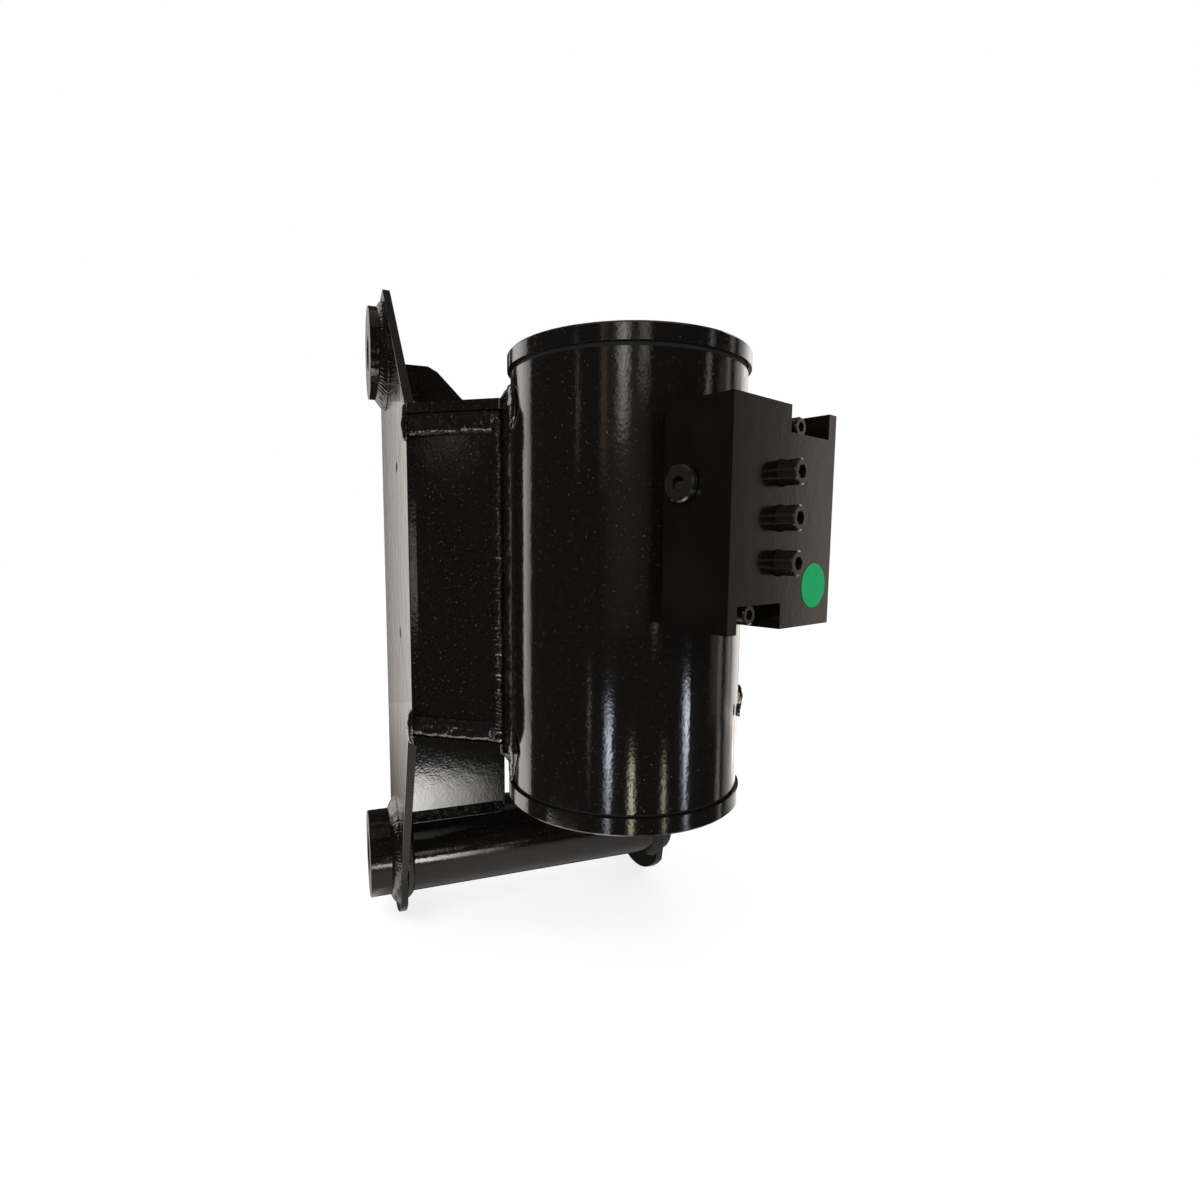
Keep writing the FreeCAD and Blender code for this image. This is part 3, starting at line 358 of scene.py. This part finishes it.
for sign in (-1, 1):
    def at(x, y, z):
        return Vector((x, sign * y, z))

    def round_tube(degrees, radius=1.0):
        """Out from the housing's axis at this azimuth, and the direction round it."""
        a = math.radians(degrees)
        return (Vector((radius * math.cos(a), -sign * radius * math.sin(a), 0)),
                Vector((-math.sin(a), -sign * math.cos(a), 0)))

    away_y = Vector((0, sign, 0))
    # Bosses: a rough cone from the plate up the boss, deeper below.
    boss_circle = circle_run(at(BOSS_X, FACE, BOSS_Z), BOSS_RADIUS, sign, deeper_below)
    add_run(boss_runs, boss_circle, fillet(8.6, 8.4, 1.0),
            ripple=0.45, pitch=3.4, lump=0.5, bow=1.1, grain=0.45, closed=True)
    # Pivot tube: all round outside the near side plate, and partly round inside both.
    if sign < 0:
        add_run(pivot_runs, circle_run(at(PIVOT_X, FACE, PIVOT_Z), PIVOT_RADIUS, sign),
                fillet(14.0, 9.0, 0.5), ripple=0.25, pitch=3.0, lump=0.6, closed=True)
    add_run(pivot_runs, circle_run(at(PIVOT_X, BACK, PIVOT_Z), PIVOT_RADIUS, -sign, start=-200, sweep=315),
            fillet(7.5, 7.5, 0.8), ripple=0.3, lump=0.5)
    # Gussets: deep runs on the webs' outer faces that turn round the side plates' front edges.
    outward = Vector((WEB_COS, sign * WEB_SIN, 0))
    along = Vector((WEB_SIN, -sign * WEB_COS, 0))
    web_end = at(*WEB_INNER, 0) - outward * WEB_INSET
    near_tube = web_end - along * 3.0
    nose = at(*WEB_OUTER, 0) - outward * WEB_INSET
    corner_out = (outward + away_y).normalized()
    low, high = GUSSET_LOW + GUSSET_DEPTH, GUSSET_TOP - GUSSET_DEPTH
    for z, down, tall in ((high, -1, 1.0), (low, 1, 0.95)):
        lift = Vector((0, 0, z))
        fall = Vector((0, 0, down))
        path = ((near_tube, outward, 1.0), (nose + along * 30, outward, 1.0), (nose + along * 4, outward, 1.0),
                (at(-73.5, 157.5, 0), corner_out, 1.0), (at(-79, 158.8, 0), away_y, 1.02),
                (at(-88, 158.8, 0), away_y, 1.0))
        add_run(gusset_runs,
                blend_stations([(point + lift, out, fall, tall * grow) for point, out, grow in path]),
                GUSSET_BAND, ripple=0.12, pitch=3.6, lump=0.9, round_off=6.0)
        # The same weld closes over the gusset's own corner on the side plate's outer face.
        corner = [(at(x, 159.2, z + down * drop), X_AXIS, away_y, grow)
                  for x, drop, grow in ((-75.5, 21, 0.6), (-76.5, 10, 1.15), (-77.5, 0, 1.0), (-77.0, -8.5, 0.7))]
        add_run(gusset_runs, blend_stations(corner), rounded(7.5, 4.6), ripple=0.12, lump=0.6, round_off=4.0)
    # Web to housing: a rough ridge on the web's end, a nearly flat face and a thin toe on the tube.
    ridge = web_end - along * 3.2
    ridge_path = [(ridge + Vector((0, 0, z)), along, outward, 1.0 + 0.12 * math.sin(z * 0.09))
                  for z in levels(low, high, 22)]
    add_run(tube_runs, blend_stations(ridge_path), rounded(4.4, 3.0), ripple=0.3, pitch=3.1, lump=1.1, grain=0.75)
    toe = round_tube(-95.0, RADIUS)[0]
    toe_out, toe_side = round_tube(-95.0)
    middle = (web_end + toe) * 0.5
    across = (toe - web_end).normalized()
    face_out = (outward + toe_out).normalized()
    width = (toe - web_end).length * 0.5 + 1.2
    face_path = [(middle + Vector((0, 0, z)) - face_out * 1.2, across, face_out, 1.0)
                 for z in levels(low - 4, high + 5, 11)]
    add_run(tube_runs, blend_stations(face_path), rounded(width, 1.3), ripple=0.15, lump=0.45, grain=0.3)
    toe_path = [(toe - toe_side * 1.5 + Vector((0, 0, z)), toe_side, toe_out, 1.0)
                for z in levels(low - 3, high + 4, 17)]
    add_run(tube_runs, blend_stations(toe_path), rounded(1.9, 1.4), ripple=0.15, lump=0.4)
    # Gusset ends wrap onto the tube as a lens of weld.
    for z, down, tip in ((GUSSET_TOP, 1, 147.5), (GUSSET_LOW, -1, -164.0)):
        lens = ((-103, tip, 0.35), (-98, (tip + z) / 2 + down * 2, 0.75), (-95, z + down * 2, 1.0),
                (-93, z - down * 9, 1.25), (-94, z - down * 18, 1.05), (-98, z - down * 29, 0.4))
        points = []
        for azimuth, height, grow in lens:
            out, side = round_tube(azimuth)
            points.append((out * (RADIUS - 0.2) + Vector((0, 0, height)), side, out, grow))
        add_run(tube_runs, blend_stations(points), rounded(9.5, 4.4), ripple=0.14, lump=0.8)
    # Rear plates: runs in the corners with the side plates, along the pivot tube and along the gussets.
    for low_z, high_z in ((-262, -139), (-130, 131), (139.5, 210)):
        add_run(rear_runs, blend_stations([(at(REAR_X, BACK, z), X_AXIS, -away_y, 1.0)
                                           for z in (low_z, (low_z + high_z) / 2, high_z)]),
                fillet(7.0, 7.0, 0.7), ripple=0.3, lump=0.8)
    add_run(rear_runs, blend_stations([(at(REAR_X, y, -274.6), Vector((0.88, 0, -0.47)), Z_AXIS, 1.0)
                                       for y in (149, 110, 75, 40)]),
            fillet(8.0, 8.0, 0.9), ripple=0.4, lump=0.9)
    for z, up_sign in ((GUSSET_TOP, 1), (GUSSET_LOW, -1)):
        add_run(rear_runs, blend_stations([(at(x, BACK, z), Z_AXIS * up_sign, -away_y, 1.0)
                                           for x in (-80, -160, -238)]),
                fillet(5.5, 5.5, 0.6), ripple=0.25, lump=0.4)
# Gussets to housing, behind the webs: from azimuth 104 to 256 degrees.
for z, up_sign in ((GUSSET_TOP, 1), (GUSSET_LOW, -1)):
    stations = []
    for k in range(271):
        a = math.radians(104 + 152 * k / 270)
        out = Vector((math.cos(a), math.sin(a), 0))
        stations.append((out * RADIUS + Vector((0, 0, z)), out, Z_AXIS * up_sign, 1.0))
    add_run(tube_runs, stations, fillet(9.0, 10.5, 0.5), ripple=0.3, lump=0.5)
weld_piece("boss_weld_runs", boss_runs, "boss_weld_beads")
weld_piece("pivot_weld_runs", pivot_runs, "pivot_weld_beads")
weld_piece("gusset_weld_runs", gusset_runs, "gusset_weld_beads")
weld_piece("tube_weld_runs", tube_runs, "tube_weld_beads")
weld_piece("rear_weld_runs", rear_runs)


# Studio: pale floor, white surroundings, a lamp, and dark walls with light strips that only reflections see.
QUAD = [(0, 1, 2, 3)]


def square(half, z):
    return [(-half, -half, z), (half, -half, z), (half, half, z), (-half, half, z)]


def stage_mesh(name, corners, faces, mat):
    mesh = bpy.data.meshes.new(name)
    mesh.from_pydata(corners, [], faces)
    mesh.materials.append(mat)
    obj = bpy.data.objects.new(name, mesh)
    scene.collection.objects.link(obj)
    return obj


def only_reflections(obj):
    obj.visible_camera = False
    obj.visible_diffuse = False
    obj.visible_shadow = False
    obj.visible_transmission = False
    obj.visible_volume_scatter = False


# Floor: 0.8 grey for bounced light; the camera sees it near white with the part's shadow on it.
FLOOR_GAP, FLOOR_TONE, FLOOR_DIM, FLOOR_LIFT = 0.0004, 0.8, -0.48, 0.76
floor_z = size_before[0][2] - FLOOR_GAP
floor_mat, floor_shader = material("pale_floor", (FLOOR_TONE, FLOOR_TONE, FLOOR_TONE), 0.9, 0.0)
floor_shader.inputs["Emission Color"].default_value = (1, 1, 1, 1)
floor_tree = floor_mat.node_tree
floor_seen = floor_tree.nodes.new("ShaderNodeLightPath").outputs["Is Camera Ray"]
floor_tree.links.new(math_node(floor_tree, "MULTIPLY", floor_seen, FLOOR_LIFT),
                     floor_shader.inputs["Emission Strength"])
floor_tree.links.new(math_node(floor_tree, "MULTIPLY_ADD", floor_seen, FLOOR_DIM, FLOOR_TONE),
                     floor_shader.inputs["Base Color"])
stage_mesh("floor", square(12, floor_z), QUAD, floor_mat)

# World: soft, barely warm light for surfaces, plain white behind the part for the camera.
world = bpy.data.worlds.new("studio")
scene.world = world
world.use_nodes = True
tree = world.node_tree
tree.nodes.clear()
seen = tree.nodes.new("ShaderNodeLightPath").outputs
direct = math_node(tree, "MAXIMUM", seen["Is Camera Ray"], seen["Is Glossy Ray"])
direct = math_node(tree, "MAXIMUM", direct, seen["Is Transmission Ray"])
mix = tree.nodes.new("ShaderNodeMixShader")
tree.links.new(direct, mix.inputs[0])
for slot, colour in ((1, (1, 0.99, 0.98, 1)), (2, (1, 1, 1, 1))):
    background = tree.nodes.new("ShaderNodeBackground")
    background.inputs["Color"].default_value = colour
    tree.links.new(background.outputs[0], mix.inputs[slot])
tree.links.new(mix.outputs[0], tree.nodes.new("ShaderNodeOutputWorld").inputs[0])


def glow(name, colour, strength, soft=None):
    """A light card's finish; soft gives (UV axis, exponent) pairs by which it fades out towards its edges."""
    mat = bpy.data.materials.new(name)
    mat.use_nodes = True
    tree = mat.node_tree
    tree.nodes.clear()
    lamp = tree.nodes.new("ShaderNodeEmission")
    lamp.inputs["Color"].default_value = (*colour, 1)
    lamp.inputs["Strength"].default_value = strength
    out = tree.nodes.new("ShaderNodeOutputMaterial")
    if soft is None:
        tree.links.new(lamp.outputs[0], out.inputs[0])
        return mat
    place = tree.nodes.new("ShaderNodeTexCoord")
    split = tree.nodes.new("ShaderNodeSeparateXYZ")
    tree.links.new(place.outputs["UV"], split.inputs[0])
    shape = None
    for axis, exponent in soft:
        middle_out = math_node(tree, "MULTIPLY", math_node(tree, "PINGPONG", split.outputs[axis], 0.5), 2.0)
        fade = math_node(tree, "POWER", middle_out, exponent)
        shape = fade if shape is None else math_node(tree, "MULTIPLY", shape, fade)
    clear = tree.nodes.new("ShaderNodeBsdfTransparent")
    blend = tree.nodes.new("ShaderNodeMixShader")
    tree.links.new(shape, blend.inputs[0])
    tree.links.new(clear.outputs[0], blend.inputs[1])
    tree.links.new(lamp.outputs[0], blend.inputs[2])
    tree.links.new(blend.outputs[0], out.inputs[0])
    return mat


def card(name, corners, colour, strength, soft):
    """A light card with its first side along U, seen only in reflections."""
    obj = stage_mesh(name, corners, QUAD, glow(name + "_glow", colour, strength, soft))
    layer = obj.data.uv_layers.new(name="UVMap")
    for loop, uv in zip(layer.data, ((0, 0), (1, 0), (1, 1), (0, 1))):
        loop.uv = uv
    only_reflections(obj)


# Dark room round the part: a ring of walls with a ceiling, and a rug on the floor.
ROOM_RADIUS, ROOM_TOP, ROOM_GLOW, SIDES = 3.0, 2.6, 0.05, 48
RUG_LIFT, CARD_LIFT = 0.001, 0.002
ring = [(ROOM_RADIUS * math.cos(2 * math.pi * k / SIDES), ROOM_RADIUS * math.sin(2 * math.pi * k / SIDES))
        for k in range(SIDES)]
corners, faces = [], []
for x, y in ring:
    corners += [(x, y, floor_z), (x, y, ROOM_TOP)]
for k in range(SIDES):
    j = (k + 1) % SIDES
    faces.append((2 * k, 2 * j, 2 * j + 1, 2 * k + 1))
faces.append(tuple(2 * k + 1 for k in range(SIDES)))
only_reflections(stage_mesh("dark_room", corners, faces, glow("room_glow", (1.0, 0.9, 0.82), ROOM_GLOW)))
only_reflections(stage_mesh("dark_rug", [(x, y, floor_z + RUG_LIFT) for x, y in ring], [tuple(range(SIDES))],
                            glow("rug_glow", (1.0, 0.95, 0.9), ROOM_GLOW)))


def wall_card(name, azimuth, half, low, high, colour, strength, soft=((0, 0.6), (1, 0.4)), radius=2.8,
              start=(0, 0)):
    """An upright card seen from start at this azimuth, half as wide each way, between two elevations."""
    ends = []
    for side in (-half, half):
        a = math.radians(azimuth + side)
        ends.append((start[0] + radius * math.cos(a), start[1] + radius * math.sin(a)))
    z0, z1 = (max(radius * math.tan(math.radians(angle)), floor_z + CARD_LIFT) for angle in (low, high))
    card(name, [(*ends[0], z0), (*ends[1], z0), (*ends[1], z1), (*ends[0], z1)], colour, strength, soft)


def floor_card(name, azimuth, half, near, far, colour, strength, start, soft=((0, 1.4), (1, 0.8))):
    """A card on the floor that fans out from start, between two distances."""
    a = math.radians(azimuth)
    out, side = Vector((math.cos(a), math.sin(a), 0)), Vector((-math.sin(a), math.cos(a), 0))
    base = Vector((start[0], start[1], floor_z + CARD_LIFT))
    spread_near, spread_far = near * math.tan(math.radians(half)), far * math.tan(math.radians(half))
    card(name, [base + out * near - side * spread_near, base + out * near + side * spread_near,
                base + out * far + side * spread_far, base + out * far - side * spread_far],
         colour, strength, soft)


def floor_sheet(name, corners, lift, colour, strength, soft):
    """A four-cornered card this far above the floor, each a little above the one before."""
    card(name, [(x, y, floor_z + lift) for x, y in corners], colour, strength, soft)


# The strips that the paint mirrors in the photograph. They are laid out from places on the housing (LIMB, RIGHT,
# FAR_RIGHT) and on the near side plate (PLATE).
grey, blue, gold = (1.0, 0.93, 0.88), (0.82, 0.87, 1.0), (1.0, 0.93, 0.68)
warm, brown = (1.0, 0.85, 0.66), (1.0, 0.66, 0.48)
LIMB, RIGHT, FAR_RIGHT, PLATE = (0.018, -0.088), (0.086, 0.03), (0.07, 0.05), (-0.1, -0.159)
wall_card("left_wall_strip", -144.5, 16.5, -30, 45, grey, 3.0, ((0, 0.3), (1, 0.02)), 1.0, LIMB)
floor_card("left_floor_strip", -144.5, 16.5, 0.3, 1.0, grey, 3.0, LIMB, ((0, 0.3), (1, 0.02)))
wall_card("back_wall_strip", -171, 7, -30, 40, grey, 1.5, ((0, 1.0), (1, 0.02)), 1.2, PLATE)
floor_card("back_floor_strip", -171, 7, 0.12, 1.2, grey, 1.7, PLATE, ((0, 1.0), (1, 0.02)))
wall_card("front_wall_strip", 4, 3, -8, 3, grey, 3.0, ((0, 0.6), (1, 0.3)))
wall_card("high_window", -28.5, 7.5, 10.5, 26, grey, 6.0, ((0, 1.2), (1, 0.4)), 2.7)
wall_card("flange_window", -10.5, 5.5, 15.2, 24, grey, 2.2, ((0, 0.6), (1, 0.3)), 2.6)
wall_card("warm_wall", -24, 20, -30, 32, warm, 0.26, ((0, 0.3), (1, 0.2)), 2.9)
wall_card("brown_wall_a", -45.5, 3.5, 6, 24, brown, 1.1, radius=2.7)
wall_card("gold_wall_b", -70.2, 1.8, 8, 20, gold, 1.2)
wall_card("brown_wall_c", 53, 3.5, 4, 22, (1.0, 0.85, 0.75), 2.4)
wall_card("right_wall_strip", 82, 4.5, -30, 26, (1.0, 0.88, 0.78), 1.3, ((0, 0.6), (1, 0.1)), 1.1, RIGHT)
floor_card("right_floor_strip", 83.5, 4.0, 0.3, 1.1, (1.0, 0.92, 0.85), 1.4, RIGHT, ((0, 0.6), (1, 0.1)))
wall_card("right_wall_dim", 74, 8, -30, 22, (1.0, 0.86, 0.72), 0.42, ((0, 0.4), (1, 0.1)), 1.15, RIGHT)
wall_card("right_wall", 118, 28, -30, 40, grey, 2.5, ((0, 0.8), (1, 0.02)), 1.2, FAR_RIGHT)
floor_card("right_floor", 118, 28, 0.3, 1.2, grey, 2.5, FAR_RIGHT, ((0, 0.8), (1, 0.02)))
floor_card("floor_streak_a", -38.7, 5.0, 0.42, 1.35, blue, 24, (0.076, -0.048))
floor_card("floor_streak_b", -16.0, 3.8, 0.40, 0.9, gold, 20, (0.084, -0.033))
floor_card("floor_streak_c", 16.0, 3.2, 0.42, 0.9, gold, 11, (0.089, -0.013))
floor_card("floor_streak_d", 38.0, 4.8, 0.46, 1.7, blue, 29, (0.09, 0.003))
floor_card("floor_line_e", -57.3, 1.1, 0.6, 1.8, gold, 5, (0.069, -0.058))
floor_sheet("floor_patch", ((0.308, -0.234), (0.198, 0.081), (-0.059, 0.015), (0.029, -0.233)), CARD_LIFT,
            (1, 0.98, 0.94), 22, ((0, 1.5), (1, 0.25)))
floor_sheet("floor_near", ((-0.27, -0.33), (0.0, -0.33), (0.0, 0.28), (-0.27, 0.28)), 0.003,
            (1, 0.97, 0.93), 0.9, ((0, 0.4), (1, 0.2)))
floor_sheet("floor_left", ((-0.06, -0.62), (0.24, -0.5), (0.22, -0.25), (-0.04, -0.2)), 0.004,
            (1, 0.9, 0.8), 6.0, ((0, 0.3), (1, 0.15)))
only_reflections(stage_mesh("overhead_card", square(1.2, 2.3), QUAD, glow("overhead_glow", grey, 0.3)))

# Key lamp: behind the camera, left of it and above.
KEY_PLACE, KEY_TARGET, KEY_SIZE, KEY_WATTS = Vector((1.2, -1.4, 1.7)), Vector((0, 0, -0.1)), 1.2, 35
key_data = bpy.data.lights.new("key_lamp", "AREA")
key_data.size = KEY_SIZE
key_data.energy = KEY_WATTS
key_lamp = bpy.data.objects.new("key_lamp", key_data)
key_lamp.location = KEY_PLACE
key_lamp.rotation_euler = (KEY_TARGET - KEY_PLACE).to_track_quat("-Z", "Y").to_euler()
key_lamp.visible_glossy = False
scene.collection.objects.link(key_lamp)

# Camera at the photograph's place, as solved from its outlines.
FRAME_PX, FOCAL_PX, SHIFT_PX, SENSOR = 1200, 660.2, (19.6, 16.1), 36
CAMERA_PLACE = Vector((0.4792, -0.2169, 0.0291))
yaw, pitch, roll = math.radians(159.5), math.radians(6.2), math.radians(0.4)
ahead = Vector((math.cos(yaw) * math.cos(pitch), math.sin(yaw) * math.cos(pitch), -math.sin(pitch)))
level_right = ahead.cross(Z_AXIS).normalized()
level_up = level_right.cross(ahead)
right = level_right * math.cos(roll) + level_up * math.sin(roll)
upward = level_up * math.cos(roll) - level_right * math.sin(roll)
camera_data = bpy.data.cameras.new("camera")
camera_data.sensor_width = SENSOR
camera_data.lens = FOCAL_PX / FRAME_PX * SENSOR
camera_data.shift_x, camera_data.shift_y = (shift / FRAME_PX for shift in SHIFT_PX)
camera_data.clip_start = 0.01
camera = bpy.data.objects.new("camera", camera_data)
basis = Matrix((right, upward, -ahead)).transposed().to_4x4()
basis.translation = CAMERA_PLACE
camera.matrix_world = basis
scene.collection.objects.link(camera)
scene.camera = camera
scene.view_settings.view_transform = "Standard"
